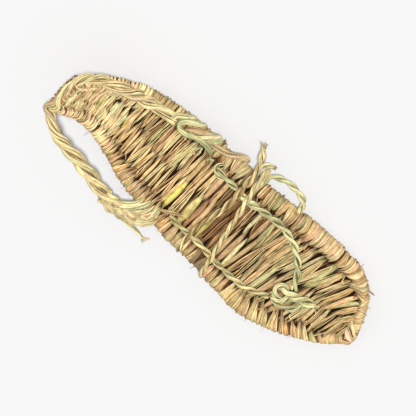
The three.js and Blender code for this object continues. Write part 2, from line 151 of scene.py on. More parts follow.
# Bands that hitch the strap to the rim: x, y, z of the route, radius, colours.
HITCHES = (
    (((-54.5, 44, 13), (-56.1, 42.8, 16), (-60.1, 40.2, 18), (-64.2, 37.8, 18.5), (-65.6, 34.1, 18),
      (-64.2, 30, 16), (-61.4, 27.3, 12.5)), 2.1, "green"),
    (((-45.5, 45.2, 12), (-47.2, 44.1, 16), (-52, 42.2, 19), (-56, 39.6, 20), (-58.7, 36.8, 19.5),
      (-59.3, 33.3, 18), (-57.3, 30.5, 16.5), (-54.1, 30, 16), (-50.4, 30.5, 16.4),
      (-46.4, 33.1, 17), (-41.5, 34.8, 16.6), (-36.2, 34.8, 15.8), (-31.4, 33.9, 14.6),
      (-27.8, 31, 12)), 2.0, "green"),
    (((-40.5, 43.7, 12), (-43.1, 41.9, 17), (-46.4, 40.5, 20), (-50, 37.8, 20), (-52.8, 35.4, 18),
      (-54.7, 32.6, 14)), 2.2, "pale"),
    (((-31.3, 46.1, 11.8), (-33.4, 45.5, 15), (-37.5, 42.9, 18.5), (-41.5, 39.3, 18),
      (-45.6, 36, 16), (-47.7, 33.4, 13)), 2.6, "strap"),
    (((-28.1, 45.4, 11.8), (-29.7, 44.7, 14), (-33, 42.4, 17), (-36.2, 39.4, 17),
      (-39.1, 35.6, 13.5)), 2.1, "green"),
    (((-39.1, 35.3, 14), (-35.1, 39.3, 17), (-29.4, 40.2, 17.4), (-24.1, 41.1, 17),
      (-18.8, 42.6, 16.5), (-14, 45.4, 16), (-9.5, 48.3, 15.5), (-6.3, 49.4, 14.6),
      (-5.1, 46.6, 12)), 2.3, "strap"),
    (((-60.1, -44, 24), (-51.4, -43.4, 21.5), (-44.1, -39.4, 19.5), (-39, -34, 17.5),
      (-36.1, -29.3, 15.5), (-35.3, -26.5, 12.5)), 2.1, "green"),
    (((-58.7, -47.5, 23), (-49.9, -46, 20.5), (-41.2, -42.3, 18), (-34.6, -36.8, 16),
      (-31.7, -31.2, 14.5), (-31.3, -27.4, 12)), 2.0, "strap"),
    (((-55.8, -50.1, 22), (-47, -48.9, 19), (-38.3, -46.1, 16), (-30.2, -41.2, 14.5),
      (-27.7, -35, 14.5), (-27.3, -28.4, 13.5), (-27.3, -26.2, 11)), 2.0, "green"),
    (((-52.8, -51.7, 20), (-44.1, -50.6, 16.5), (-35.3, -48.4, 13), (-27.3, -44.3, 10.5),
      (-23.7, -39.2, 11.5), (-22.2, -34, 13)), 1.7, "strap"),
    (((-57.2, -42.8, 23), (-50.7, -40.1, 22), (-44.8, -36.1, 19), (-41.5, -32, 16.5),
      (-40.5, -28.4, 13.5)), 1.8, "green"),
    (((-54.3, -49.3, 20), (-45.6, -51.2, 16), (-36.8, -52.2, 12), (-28.1, -52.9, 9),
      (-20.8, -54.4, 7)), 1.6, "green"),
    (((-13.6, -17.6, 13.5), (-19.3, -21.3, 14.6), (-24.4, -25.1, 14), (-27, -27.4, 12)),
     1.6, "rim"),
)
# Dark cut ends of straw that stand out of the rim: from, to.
STUBS = (
    ((86.4, 48.2, 9), (88.2, 51.8, 8)), ((100.2, 48.2, 9), (103.1, 50.6, 8)),
    ((108.2, 44, 9), (110.4, 47.5, 8)), ((114.8, 42.8, 9), (117.7, 45.9, 8)),
    ((121.4, 40.5, 9), (128.3, 40.9, 8)), ((125, 34.3, 9), (127.9, 36.6, 8)),
    ((131.6, 24.8, 10), (134.4, 26.3, 9)), ((134.1, 19.6, 10), (137, 20.9, 9)),
    ((-13.5, 43.6, 9), (-6.9, 44.8, 8)), ((-27.3, 42, 9), (-25.9, 44.8, 8)),
    ((30.2, 45.1, 9), (31, 47.5, 8)), ((46.3, 45.9, 9), (47.7, 49.4, 8)),
)
# Frayed ends: root, direction, how many, length, colours.
FRAYS = (
    ((-3.4, 63.4, 15.6), (-2.6, 4, 0), 30, 4.4, "fringe"),
    ((-3.6, 63.6, 15.6), (-2.6, 4, 0), 14, 4.4, "thin"),
    ((101, 4.6, 14.6), (5, 1.7, 0), 30, 5.0, "thin"),
    ((96.4, -3, 13.8), (1.6, 4.6, 0), 14, 4.0, "thin"),
    ((10.6, 59.2, 16.2), (3.6, 1.4, 0), 14, 3.4, "brown"),
    ((-18, 28.4, 13), (-5, 5, 1), 16, 7.0, "brown"),
    ((-36, 30.5, 13), (-1.5, -5, 0.6), 14, 7.0, "green"),
    ((-30, 31, 13), (2, -5, 0.8), 16, 6.0, "brown"),
    ((-24, 30, 13), (-4, -3, 0.8), 12, 6.0, "green"),
    ((-16, -20, 14), (4, 3, 0.6), 12, 6.0, "weave"),
    ((-21.8, -54.2, 7.2), (6, -1, -0.2), 12, 5.0, "strap"),
    ((-28, 45, 13), (3, 3, 0), 10, 4.0, "brown"),
)

# Camera, placed from how the photograph lies: the toe points down to the right.
CAMERA_TILT = math.radians(20)
CAMERA_ROLL = math.radians(44.5)
CAMERA_AIM = (-2.4, -0.3, 10)
CAMERA_FAR = 2200.0
CAMERA_CLIP = 20.0
VIEW_WIDTH = 303.2
SENSOR = 36.0

FLOOR_SIZE = 6.0
FLOOR_GREY = 0.5
FLOOR_ROUGHNESS = 0.9
SKY_STRENGTH = 0.47
SUN_TOWARDS = (0.04, 0.34, 1.0)
SUN_STRENGTH = 4.6
SUN_ANGLE = math.radians(7)


def unit(x):
    """x, held between 0 and 1."""
    return np.clip(x, 0, 1)


def cubic(knots, values, tangents, x):
    """A curve through values at knots, with a tangent at each."""
    i = np.clip(np.searchsorted(knots, x, side="right") - 1, 0, len(knots) - 2)
    span = knots[i + 1] - knots[i]
    t = (x - knots[i]) / span
    if values.ndim > 1:
        span, t = span[:, None], t[:, None]
    leave = t * (1 - t) ** 2 * span * tangents[i]
    arrive = t * t * (t - 1) * span * tangents[i + 1]
    return values[i] + (values[i + 1] - values[i]) * (t * t * (3 - 2 * t)) + leave + arrive


def smooth(xs, ys):
    """A curve through points that does not overshoot between them."""
    xs = np.asarray(xs, float)
    ys = np.asarray(ys, float)
    slopes = np.diff(ys) / np.diff(xs)
    before, after = slopes[:-1], slopes[1:]
    same = before * after > 0
    total = np.where(same, before + after, 1.0)
    inner = np.where(same, 2 * before * after / total, 0.0)
    tangents = np.concatenate([slopes[:1], inner, slopes[-1:]])

    return lambda x: cubic(xs, ys, tangents, np.clip(x, xs[0], xs[-1]))


def columns(table):
    """Curves for the columns of a table over its first column."""
    table = np.array(table, float)
    return [smooth(table[:, 0], table[:, i]) for i in range(1, table.shape[1])]


SOLE = dict(zip(SOLE_COLUMNS[1:], columns(SOLE_ROWS)))
TOP, = columns(TOP_PROFILE)
RIM_ACROSS, RIM_HEIGHT = columns(RIM_PROFILE)


def underside(at):
    """Middle of the underside: x, z and how far it has turned up."""
    flat = TOE_X - HEEL_BEND_X
    turn = np.clip((at - flat) / HEEL_BEND_RADIUS, 0, HEEL_BEND_ANGLE)
    straight = np.maximum(0, at - flat - HEEL_BEND_RADIUS * HEEL_BEND_ANGLE)
    spring = np.maximum(0, 1 - at / TOE_SPRING_RUN)
    x = np.where(at < flat, TOE_X - at, HEEL_BEND_X - HEEL_BEND_RADIUS * np.sin(turn))
    z = HEEL_BEND_RADIUS * (1 - np.cos(turn)) + TOE_SPRING * spring ** 2
    return x - straight * np.cos(turn), z + straight * np.sin(turn), turn


def half_width(at):
    return (SOLE["left"](at) - SOLE["right"](at)) / 2


def groove(at, across):
    """How much the groove across the waist sinks the top, 0 to 1."""
    x, _, _ = underside(at)
    y = (SOLE["left"](at) + SOLE["right"](at)) / 2 + half_width(at) * across
    return np.exp(-(((x - GROOVE_X - GROOVE_SLANT * y) / GROOVE_HALF_WIDTH) ** 2))


def thickness(at, across):
    return SOLE["thick"](at) - GROOVE_DEPTH * groove(at, across)


def top_height(at, across):
    return TOP(np.abs(across)) * thickness(at, across)


def on_sole(at, across, height):
    """Points of the sole: across from -1, right, to 1, left; height square to it."""
    at, across, height = np.broadcast_arrays(np.asarray(at, float), across, height)
    x, z, turn = underside(at)
    half = half_width(at)
    lift = np.where(across > 0, SOLE["lift_left"](at), SOLE["lift_right"](at))
    steep = 2 * lift * across / half
    square = 1 / np.hypot(1, steep)
    y = (SOLE["left"](at) + SOLE["right"](at)) / 2 + half * across - steep * square * height
    rise = lift * across ** 2 + square * height
    return np.stack([x + rise * np.sin(turn), y, z + rise * np.cos(turn)], axis=-1)


# Straw colours: sRGB, 0 to 255, with how often each comes up.
PALETTES = {
    "weave": (
        ((216, 184, 130), 0.2), ((194, 158, 106), 0.16), ((232, 210, 158), 0.22),
        ((216, 176, 132), 0.2), ((198, 188, 134), 0.1), ((148, 106, 66), 0.12),
    ),
    "rim": (
        ((206, 174, 122), 0.24), ((224, 200, 150), 0.24), ((186, 148, 100), 0.16),
        ((214, 174, 132), 0.24), ((194, 184, 128), 0.12),
    ),
    "pale": (
        ((218, 190, 140), 0.32), ((204, 168, 118), 0.26), ((228, 206, 158), 0.2),
        ((216, 176, 136), 0.22),
    ),
    "heel": (
        ((230, 202, 150), 0.3), ((236, 216, 166), 0.26), ((228, 190, 148), 0.28),
        ((212, 206, 154), 0.11), ((170, 128, 82), 0.05),
    ),
    "strap": (
        ((232, 210, 160), 0.36), ((220, 190, 138), 0.12), ((238, 222, 178), 0.28),
        ((222, 212, 160), 0.12), ((226, 190, 150), 0.12),
    ),
    "green": (
        ((230, 224, 174), 0.4), ((236, 222, 174), 0.3), ((212, 214, 162), 0.3),
    ),
    "thin": (
        ((222, 213, 160), 0.42), ((200, 194, 138), 0.27), ((234, 224, 180), 0.22),
        ((204, 174, 124), 0.09),
    ),
    "end": (
        ((226, 206, 158), 0.42), ((234, 220, 170), 0.34), ((212, 180, 132), 0.24),
    ),
    "rear": (
        ((214, 195, 145), 0.42), ((228, 213, 164), 0.3), ((188, 156, 106), 0.28),
    ),
    "waist": (
        ((166, 122, 76), 0.36), ((136, 94, 56), 0.26), ((190, 152, 100), 0.24),
        ((206, 184, 120), 0.14),
    ),
    "fringe": (
        ((184, 140, 100), 0.4), ((212, 182, 136), 0.35), ((136, 94, 62), 0.25),
    ),
    "brown": (
        ((122, 80, 46), 0.5), ((150, 106, 62), 0.3), ((96, 58, 32), 0.2),
    ),
}
# Painted shade: the dark inside of the weave, under the bed and under the rim.
CORE_SHADE = (34, 19, 9)
LINING_SHADE = (84, 56, 32)
# Straws deep in the weave, darkened further as painted shade.
DEEP_STRAW_IN_SHADE = (128, 90, 54)
# Limits of a straw's linear light: as picked, and with the tone of its place.
BRIGHTEST = 0.74
BRIGHTEST_LIT = 0.88
STRAW_SPREAD = (0.82, 1.16)
# Cast of the whole photograph, a little to the green of the straw's own colours.
CAST = (1.0, 1.02, 0.97)


def linear(srgb):
    """Linear light of an sRGB colour."""
    c = np.asarray(srgb, float) / 255
    return np.where(c <= 0.04045, c / 12.92, ((c + 0.055) / 1.055) ** 2.4)


def bounded(colour, limit):
    """The colour, dimmed as a whole where it is brighter than straw can be."""
    return colour * min(1.0, limit / colour.max())


def pick(palette):
    """A colour for one straw."""
    colours = PALETTES[palette]
    weights = np.array([w for _, w in colours])
    colour = linear(colours[rng.choice(len(colours), p=weights / weights.sum())][0]) * CAST
    return bounded(colour * uniform(*STRAW_SPREAD), BRIGHTEST)


class Mesher:
    """Collects ribbons and tubes, each a grid of points, into one mesh."""

    GRAIN_SEEDS = 50

    def __init__(self):
        self.points, self.quads, self.tints, self.grains = [], [], [], []
        self.total = 0

    def grid(self, points, tint, along, across, closed=False):
        """points is rows by columns; tint is one colour or one a point; along and across in mm."""
        count, columns = points.shape[:2]
        index = np.arange(count * columns).reshape(count, columns) + self.total
        right = np.roll(index, -1, axis=1) if closed else index[:, 1:]
        left = index if closed else index[:, :-1]
        quads = np.stack([left[:-1], right[:-1], right[1:], left[1:]], axis=-1)
        grain = np.broadcast_arrays(across, along, uniform(0, self.GRAIN_SEEDS))
        grain = np.stack(grain, axis=-1)
        self.quads.append(quads.reshape(-1, 4))
        for kept, new in ((self.points, points), (self.tints, tint), (self.grains, grain)):
            kept.append(np.broadcast_to(new, points.shape).reshape(-1, 3))
        self.total += count * columns

    def build(self, name, material):
        mesh = bpy.data.meshes.new(name)
        points, quads = np.concatenate(self.points) * MM, np.concatenate(self.quads)
        mesh.from_pydata(points, [], quads, shade_flat=False)
        tints = np.pad(np.concatenate(self.tints), ((0, 0), (0, 1)), constant_values=1)
        tint = mesh.attributes.new("tint", "FLOAT_COLOR", "POINT")
        tint.data.foreach_set("color", tints.ravel())
        grain = mesh.attributes.new("grain", "FLOAT_VECTOR", "POINT")
        grain.data.foreach_set("vector", np.concatenate(self.grains).ravel())
        mesh.materials.append(material)
        piece = bpy.data.objects.new(name, mesh)
        bpy.context.collection.objects.link(piece)
        return piece


# Places across a straw, from edge to edge, and its arch over them.
ROUND = np.array([-1.0, -0.62, 0.0, 0.62, 1.0])[None, :]
ARCH = np.sqrt(1 - ROUND ** 2)
# Painted shade along a straw's edges; each streak along it also gets a random tone of its own.
EDGE_SHADE = 0.6
EDGE_SPREAD = (0.8, 1.12)
# Straws keep this far from the sole's ends.
BED_MARGIN = 0.4
RIM_MARGIN = 0.3
# Middle of the rim's section: shares of the half width and of the thickness.
RIM_CENTRE = 0.8
RIM_MIDDLE = 0.47
# Wraps bow out as if they were at least this far from that middle.
RIM_NEAREST = 2.0
WRAP_BOW = 0.7
LOWEST = 0.1


def lengths(points):
    """Length along a line up to each of its points."""
    return np.concatenate([[0], np.cumsum(np.linalg.norm(np.diff(points, axis=0), axis=1))])


def strip(mesh, points, width, tint, shade):
    """Adds a straw with points along it and across it, with painted shade at its edges and where it
    dives.
    """
    along = lengths(points[:, 2])[:, None]
    edge = (1 - EDGE_SHADE * np.abs(ROUND) ** 4) * uniform(*EDGE_SPREAD, ROUND.shape)
    tint = tint * shade[:, None, None] * edge[..., None]
    mesh.grid(points, tint, along, ROUND * width[:, None])


def blade(mesh, at, across, height, width, crown, tint, tilt, shade):
    """A straw on the sole, along at, across and height; width is half its width."""
    bow = crown * ARCH + tilt * ROUND
    where = np.clip(at[:, None] + ROUND * width[:, None], BED_MARGIN, SOLE_LENGTH - BED_MARGIN)
    strip(mesh, on_sole(where, across[:, None], height[:, None] + bow), width, tint, shade)


def wrap(mesh, at, across, height, width, tint, shade, side):
    """A straw round the rim, bowed outwards from the middle of the rim."""
    half = half_width(at)[:, None]
    middle = RIM_MIDDLE * SOLE["thick"](at)[:, None]
    over = (across[:, None] - RIM_CENTRE) * half
    above = height[:, None] - middle
    out = 1 + WRAP_BOW * width[:, None] * ARCH / np.maximum(np.hypot(over, above), RIM_NEAREST)
    points = on_sole(
        np.clip(at[:, None] + ROUND * width[:, None], RIM_MARGIN, SOLE_LENGTH - RIM_MARGIN),
        side * (RIM_CENTRE + over * out / half),
        np.maximum(middle + above * out, LOWEST),
    )
    strip(mesh, points, width, tint, shade)


WANDER_KNOTS = 4


def wander(count, size):
    """A slow random bend along a straw."""
    bends = normal(0, size, WANDER_KNOTS)
    return smooth(np.linspace(0, 1, WANDER_KNOTS), bends)(np.linspace(0, 1, count))


# Distance between bunches of straw along the foot: where, bed, rim.
PITCHES = (
    (0, 3.2, 3.8), (30, 3.8, 4.4), (100, 4.5, 4.4), (140, 4.2, 4.0), (180, 3.7, 3.6),
    (240, 3.3, 3.3), (298, 2.9, 2.9),
)
PITCH_SPREAD = (0.82, 1.18)
BED_PITCH, RIM_PITCH = columns(PITCHES)
BED_FROM = 6.0
BED_TO = SOLE_LENGTH - 4


def rows(pitch, start, end):
    """Places along the foot, a pitch apart, a little uneven."""
    places = [start]
    while places[-1] < end:
        places.append(places[-1] + float(pitch(places[-1])) * uniform(*PITCH_SPREAD))
    return np.array(places)


# The bed along the foot: from where, colours, share of bunches with a leaf, tone left and right.
# The tones are partly the straws' own and partly painted light, which evens out how the lamp lights
# the heel and the two sides.
FOREFOOT_TO = 110.0
FRONT_TO = 115.0
HEEL_FROM = 232.0
BED_ZONES = (
    (0, "weave", 0.62, 1.12, 1.12 * 0.82),
    (50, "weave", 0.62, 0.84 * 0.95, 0.84 * 1.04),
    (FRONT_TO, "weave", 0.34, 0.84, 0.84 * 1.04),
    (119.5, "waist", 0.34, 0.8, 0.8 * 1.04),
    (142, "weave", 0.34, 0.84, 0.84 * 1.04),
    (150, "weave", 0.34, 1.08, 1.08 * 1.04),
    (HEEL_FROM, "heel", 0.55, 1.24, 1.24 * 1.04),
)
# Tone laid over the bed's straws once their colours are picked: where, left, right. Like the zones'
# tones, it is partly painted light.
BED_TONES = np.array((
    (0, 1.0, 0.9), (50, 1.0, 0.9), (60, 0.95, 1.0), (115, 0.95, 1.0), (120, 1.12, 1.12),
    (142, 1.12, 1.12), (150, 1.1, 1.22), (225, 1.1, 1.22), (240, 0.92, 0.92),
))
# Bunches: scatter of lean, further straws, leaf widths and reach left and right in pitches, tones.
BUNCHES = {
    "front": (0.07, 0, (0.65, 1.1), (0.5, 0.37), (0.6, 1.5)),
    "rear": (0.05, 0, (0.55, 0.92), (0.41, 0.41), (0.6, 1.24)),
    "heel": (0.05, 2, (0.65, 1.1), (0.48, 0.48), (0.84, 1.16)),
}
STRAWS_IN_BUNCH = (4, 8)
STRAWS_ON_LEAF = (2, 5)
STRAW_WIDTHS = (0.12, 0.3)
# A leaf with less red light than this is picked once more.
LEAF_TONE = 0.42
# Lean of left and right floats towards the toe: the most, the run over which it grows, its power.
SLANT_TO = 118.0
SLANTS = {1: (0.55, 100.0, 1.2), -1: (-0.16, 40.0, 1.0)}
# Seam of left and right floats: place, waves (size, length, phase), turn at the toe (size, run).
SEAM = 0.04
SEAM_WAVES = ((0.07, 19, 1), (0.05, 6.7, 0))
SEAM_TOE = (0.12, 60)
# Painted shadows where the knot keeps the light off the bed: place along the foot and across it,
# radius.
KNOT_SHADOWS = ((61.6, -9.5, 4.2), (50.8, -11.6, 3.6))
KNOT_SHADOW_DARK = 0.85
# A float along its length: spindle shaped, humped, and darkened with painted shade where it dives
# into the weave.
STEPS = 13
ALONG = np.linspace(0, 1, STEPS)
SWELL = np.sin(np.pi * ALONG)
FAN = SWELL ** 0.95
HUMP = SWELL ** 0.5
SPINDLE = 0.25 + 0.75 * SWELL ** 0.75
DIVE_SHADE = 0.26 + 0.74 * unit(SWELL * 2.0)
DIVE = 1.5
FADE = 0.3
# Broad leaves that stand out: place along the foot, from and to across it, width, colour.
LEAVES = (
    (150.4, 0.02, 0.7, 4.6, (206, 168, 122)),
    (112.6, 0.1, 0.7, 3.2, (206, 196, 144)),
    (167.6, 0.16, -0.66, 5.0, (222, 204, 108)),
    (152.4, 0.14, -0.66, 6.4, (218, 202, 130)),
    (147.0, 0.12, -0.66, 4.2, (178, 134, 88)),
    (135.0, 0.1, -0.66, 3.6, (204, 188, 110)),
    (107.4, 0.12, -0.66, 3.6, (214, 204, 150)),
    (247.0, 0.18, -0.36, 3.6, (206, 206, 160)),
    (236.0, 0.08, -0.42, 3.8, (204, 204, 156)),
    (232.0, 0.02, -0.34, 2.4, (214, 186, 90)),
    (262.0, 0.2, -0.5, 4.0, (212, 196, 122)),
    (36.7, 0.0, -0.6, 3.2, (212, 182, 132)),
)
# A leaf that runs out this far takes the place of bunches up to a little beside it.
FULL_LEAF = 0.6
LEAF_ROOM = 0.2
# Shares of the half width: how far floats cross the seam, and where they start and end.
SEAM_OVERLAP = 0.1
HEEL_START = 0.2
HEEL_MIDDLE = (0.34, -0.32)
BED_EDGE = {1: 0.73, -1: 0.71}


def bed_slant(at, side):
    """How much a float leans towards the toe as it goes outwards."""
    most, run, power = SLANTS[side]
    return most * float(unit((SLANT_TO - at) / run)) ** power


def seam(at):
    """Where the left and right floats meet, as a share of the half width."""
    place = SEAM
    for size, length, phase in SEAM_WAVES:
        place += size * math.sin(at / length + phase)
    size, run = SEAM_TOE
    return place - size * max(0, 1 - at / run)


def float_straw(mesh, at0, start, end, slant, tint, wide, lift, crown, shift=0.0, pinch=0.2):
    """One straw across part of the bed, spindle shaped, that dives into the weave at both ends."""
    across = start + (end - start) * ALONG
    reach = float(half_width(at0)) * abs(end - start)
    fan = pinch + (1 - pinch) * FAN
    at = at0 + slant * reach * (0.5 - ALONG) + shift * fan + wander(STEPS, 0.28)
    height = top_height(at, across) + lift * HUMP - DIVE * (1 - HUMP)
    fade = uniform(0, FADE)
    # Painted shade where the straw dives, and a random fade towards one end.
    shade = DIVE_SHADE * (1 - fade * (ALONG if rng.random() < 0.5 else 1 - ALONG))
    # Painted shadow of the knot on the bed.
    for shadow_at, shadow_across, radius in KNOT_SHADOWS:
        away = np.hypot(at - shadow_at, across * half_width(at) - shadow_across)
        shade = shade * (1 - KNOT_SHADOW_DARK * np.exp(-((away / radius) ** 2)))
    blade(mesh, at, across, height, wide * SPINDLE, crown, tint, normal(0, 0.25), shade)


def bunch(mesh, start, end, at0, pitch, palette, slant, leafy, dark):
    """A bunch of fine straws, or a broad leaf with a few straws on it, across part of the bed."""
    zone = "heel" if palette == "heel" else "rear" if at0 > FRONT_TO else "front"
    scatter, more, leaf_widths, reach, tones = BUNCHES[zone]
    column = 0 if start < end else 1
    # Tone of the place, partly painted light.
    tone = np.interp(at0, BED_TONES[:, 0], BED_TONES[:, 1 + column])
    slant = slant + normal(0, scatter)
    base = pick(palette) * dark
    count = rng.integers(*STRAWS_IN_BUNCH) + more
    if rng.random() < leafy:
        base = base if base[0] > LEAF_TONE else pick(palette) * dark
        wide = 0.5 * pitch * uniform(*leaf_widths)
        tint = bounded(base * tone, BRIGHTEST_LIT)
        float_straw(mesh, at0, start, end, slant, tint, wide, lift=0.35, crown=0.4 * wide)
        count = rng.integers(*STRAWS_ON_LEAF)
    for k in range(count):
        place_k = 2 * (k + uniform(0.1, 0.9)) / count - 1
        wide = 0.5 * pitch * uniform(*STRAW_WIDTHS)
        shift = place_k * reach[column] * pitch
        lift = 0.8 - 0.55 * place_k ** 2 + normal(0, 0.3)
        tint = base if rng.random() < 0.4 else pick(palette) * dark
        tint = bounded(tint * uniform(*tones) * tone, BRIGHTEST_LIT)
        first, last = start + normal(0, 0.05), end + normal(0, 0.035)
        lean = slant + normal(0, 0.03)
        float_straw(mesh, at0, first, last, lean, tint, wide, lift, crown=0.9 * wide, shift=shift)


def bed_ends(at0, side):
    """Where a float of the bed starts and ends, as shares of the half width."""
    overlap = SEAM_OVERLAP + normal(0, 0.05 if at0 > FOREFOOT_TO else 0.1)
    if at0 > HEEL_FROM:
        inner = side * (HEEL_START + normal(0, 0.08))
    else:
        inner = seam(at0) - side * overlap
    return inner, side * (BED_EDGE[side] + normal(0, 0.03))


def bed(mesh):
    """Floats of the bed: left and right ones that meet, and shorter ones in the heel."""
    left = rows(BED_PITCH, BED_FROM, BED_TO)
    places = {1: left, -1: (left[1:] + left[:-1]) / 2}
    for side in (1, -1):
        taken = [(leaf[0], leaf[3]) for leaf in LEAVES if leaf[2] * side > FULL_LEAF]
        for i in range(1, len(places[side]) - 1):
            at0 = float(places[side][i])
            pitch = float(places[side][i + 1] - places[side][i - 1]) / 2
            if any(abs(at0 - at) < width / 2 + LEAF_ROOM for at, width in taken):
                continue
            inner, outer = bed_ends(at0, side)
            zone = [zone for zone in BED_ZONES if zone[0] < at0][-1]
            _, palette, leafy, dark_left, dark_right = zone
            # The zone's tone, partly painted light.
            dark = dark_left if side > 0 else dark_right
            bunch(mesh, inner, outer, at0, pitch, palette, bed_slant(at0, side), leafy, dark)
    _, palette, leafy, dark, _ = BED_ZONES[-1]
    middle = rows(BED_PITCH, HEEL_FROM - 2, BED_TO)
    for at0, pitch in zip(middle[:-1], np.diff(middle)):
        start, end = (share + normal(0, 0.08) for share in HEEL_MIDDLE)
        bunch(mesh, start, end, float(at0), float(pitch), palette, 0.0, leafy, dark)
    for at0, start, end, wide, colour in LEAVES:
        start = start + (seam(at0) - SEAM_OVERLAP if at0 < HEEL_FROM else 0)
        tint = linear(colour)
        float_straw(mesh, at0, start, end, 0.0, tint, 0.5 * wide, lift=1.0, crown=0.7, pinch=0.25)


def scattered(start, end, step, left_out):
    """Sides and places along the foot, a step apart, with a share of them left out."""
    for side in (1, -1):
        for at0 in np.arange(start, end, step):
            if rng.random() >= left_out(at0):
                yield side, at0


def lower_straws(mesh):
    """Straws that lie deeper in the weave and show between the floats, darkened as painted shade.
    """
    places = scattered(7, SOLE_LENGTH - 5, step=1.5, left_out=lambda at: 0.7 if at < 120 else 0.5)
    for side, at0 in places:
        start = side * uniform(-0.2, 0.3)
        end = side * uniform(0.55, 0.78)
        # Painted shade: each deep straw is darkened by a random share.
        tint = linear(DEEP_STRAW_IN_SHADE) * uniform(0.2, 0.9)
        slant = bed_slant(at0, side) + normal(0, 0.08)
        where = at0 + normal(0, 0.6)
        wide = uniform(0.5, 1.0)
        float_straw(mesh, where, start, end, slant, tint, wide, lift=-0.9, crown=0.5, pinch=0.6)


def strays(mesh):
    """Loose straws that lie over the weave at odd angles, most in the valleys beside the rim."""
    for side, at0 in scattered(14, SOLE_LENGTH - 12, step=2.9, left_out=lambda at: 0.4):
        start = uniform(0.42, 0.6)
        end = start + uniform(0.1, 0.26)
        browned = rng.random() < 0.3
        tint = pick("brown") * 1.3 if browned else pick("heel" if at0 > HEEL_FROM else "weave")
        where = at0 + normal(0, 1.2)
        wide, slant = uniform(0.3, 0.7), normal(0, 0.4)
        start, end = side * start, side * end
        float_straw(mesh, where, start, end, slant, tint, wide, lift=0.8, crown=0.4)


# Steps of a straw once round the rim, and how it fans out over them.
RIM_STEPS = 17
RIM_RUN = np.linspace(0, 1, RIM_STEPS)
RIM_FAN = np.interp(RIM_RUN, (0, 0.15, 0.3, 0.44, 0.7, 1), (0.1, 0.4, 0.82, 1, 1, 0.7))
RIM_INSIDE = unit(1 - RIM_RUN / 0.3)
# Width of the rim's section as drawn, as a share of the solid's, left and right.
SLIM = {1: 0.88, -1: 0.94}
# The strap lies on the left rim from here on, and presses it down by so much.
STRAP_COVERS = 250.0
STRAP_PRESS = 0.7
# Where the left rim's broad pale leaves end, and where the right rim turns darker.
PALE_TO = 84.0
RIM_REAR_FROM = 150.0
# Round the toe, wraps bow and lag behind, on the right less.
TOE_BOW = -1.6
TOE_LAG = 3.0
TOE_SHARE = {1: 1.0, -1: 0.4}
# Leaves round the tip of the toe reach back to here, over the first of the rim's own wraps.
TIP_RUN = 16.0
TIP_OVERLAP = 6.0
TIP_HEART = (121.0, 9.0)


def tuck(run):
    """How far a wrap has come out of the valley, 0 to 1."""
    return unit(run / 0.18) ** 0.7


def arc(run):
    """The bow of a wrap along the foot, 0 to 1."""
    return np.sin(np.pi * unit(run / 0.72))


def rim_tone(at0, side):
    """How bright the rim is at a place along the foot: halved by painted shade in the groove, and
    brighter at the heel and on the right, partly as painted light where the lamp lights them less.
    """
    tone = 0.5 if float(groove(at0, side * 0.85)) > 0.5 else 1.0
    tone *= 1.16 if at0 > HEEL_FROM else 0.86
    if side > 0:
        return tone * (0.97 if at0 < FOREFOOT_TO else 1.0)
    return tone * (1.1 if at0 > RIM_REAR_FROM else 1.2)


def rim_bunch(mesh, side, at0, pitch):
    """A puffy bunch of leaves over the rim, with a dark brown one below as painted shade between
    them.
    """
    edge = SOLE["left" if side > 0 else "right"]
    lead = side * float(edge(at0 + 1.5) - edge(at0 - 1.5)) / 3
    lead = float(np.clip(lead, -0.4, 1.2)) * min(1, at0 / 10)
    start = (0.05 if side > 0 else 0.0) + normal(0, 0.06)
    twist = normal(0, 0.05)
    palette = "heel" if at0 > HEEL_FROM else "pale" if at0 < PALE_TO and side > 0 else "rim"
    # Tone of the rim's place, with painted shade in the groove and partly painted light.
    tone = rim_tone(at0, side)
    base = pick(palette) * tone
    toe_share = float(unit((FOREFOOT_TO - at0) / 30)) * TOE_SHARE[side]
    bow = normal(TOE_BOW * toe_share, 0.5)
    lag = normal(TOE_LAG * toe_share, 0.6)
    count = rng.integers(2, 4) if palette == "pale" else rng.integers(3, 7)
    press = STRAP_PRESS if side > 0 and at0 > STRAP_COVERS else 0
    out_of_valley = tuck(RIM_RUN)
    for k in range(-1, count):
        below = k < 0
        place_k = uniform(-1, 1) if below else 2 * (k + uniform(0.15, 0.85)) / count - 1
        wide = 0.5 * pitch if below else 0.5 * pitch / count * uniform(1.1, 1.9)
        share = RIM_ACROSS(RIM_RUN) + (start + normal(0, 0.03)) * RIM_INSIDE
        slide = (lead * 0.9 + twist) * ((1 - share) * float(half_width(at0)))
        at = at0 + place_k * 0.46 * pitch * RIM_FAN + slide + wander(RIM_STEPS, 0.22)
        at = at + bow * arc(RIM_RUN) + lag * unit(1 - RIM_RUN / 0.4)
        at = np.clip(at, 0.6, SOLE_LENGTH - 0.6)
        middle = RIM_MIDDLE * SOLE["thick"](at)
        over = (share - RIM_CENTRE) * half_width(at)
        above = RIM_HEIGHT(RIM_RUN) * thickness(at, side * share) - middle
        lift = 0.4 - 1.1 * place_k ** 2 + normal(0, 0.28) - press
        proud = (-1.9 if below else lift) * out_of_valley - 2.0 * (1 - out_of_valley)
        out = 1 + proud / np.maximum(np.hypot(over, above), RIM_NEAREST)
        width = wide * (np.maximum(RIM_FAN, 0.8) if below else RIM_FAN)
        tint = (base if rng.random() < 0.5 else pick(palette) * tone) * uniform(0.72, 1.18)
        # Painted shade: the leaf below is dark brown, to show between the wraps.
        tint = pick("brown") * uniform(0.6, 1.1) if below else tint
        # Painted shade where the leaves come out of the valley.
        shade = 0.3 + 0.7 * unit(RIM_RUN / 0.3)
        across = RIM_CENTRE + SLIM[side] * over * out / half_width(at)
        height = np.maximum(middle + above * out, 0.12)
        wrap(mesh, at, across, height, width, tint, shade, side)


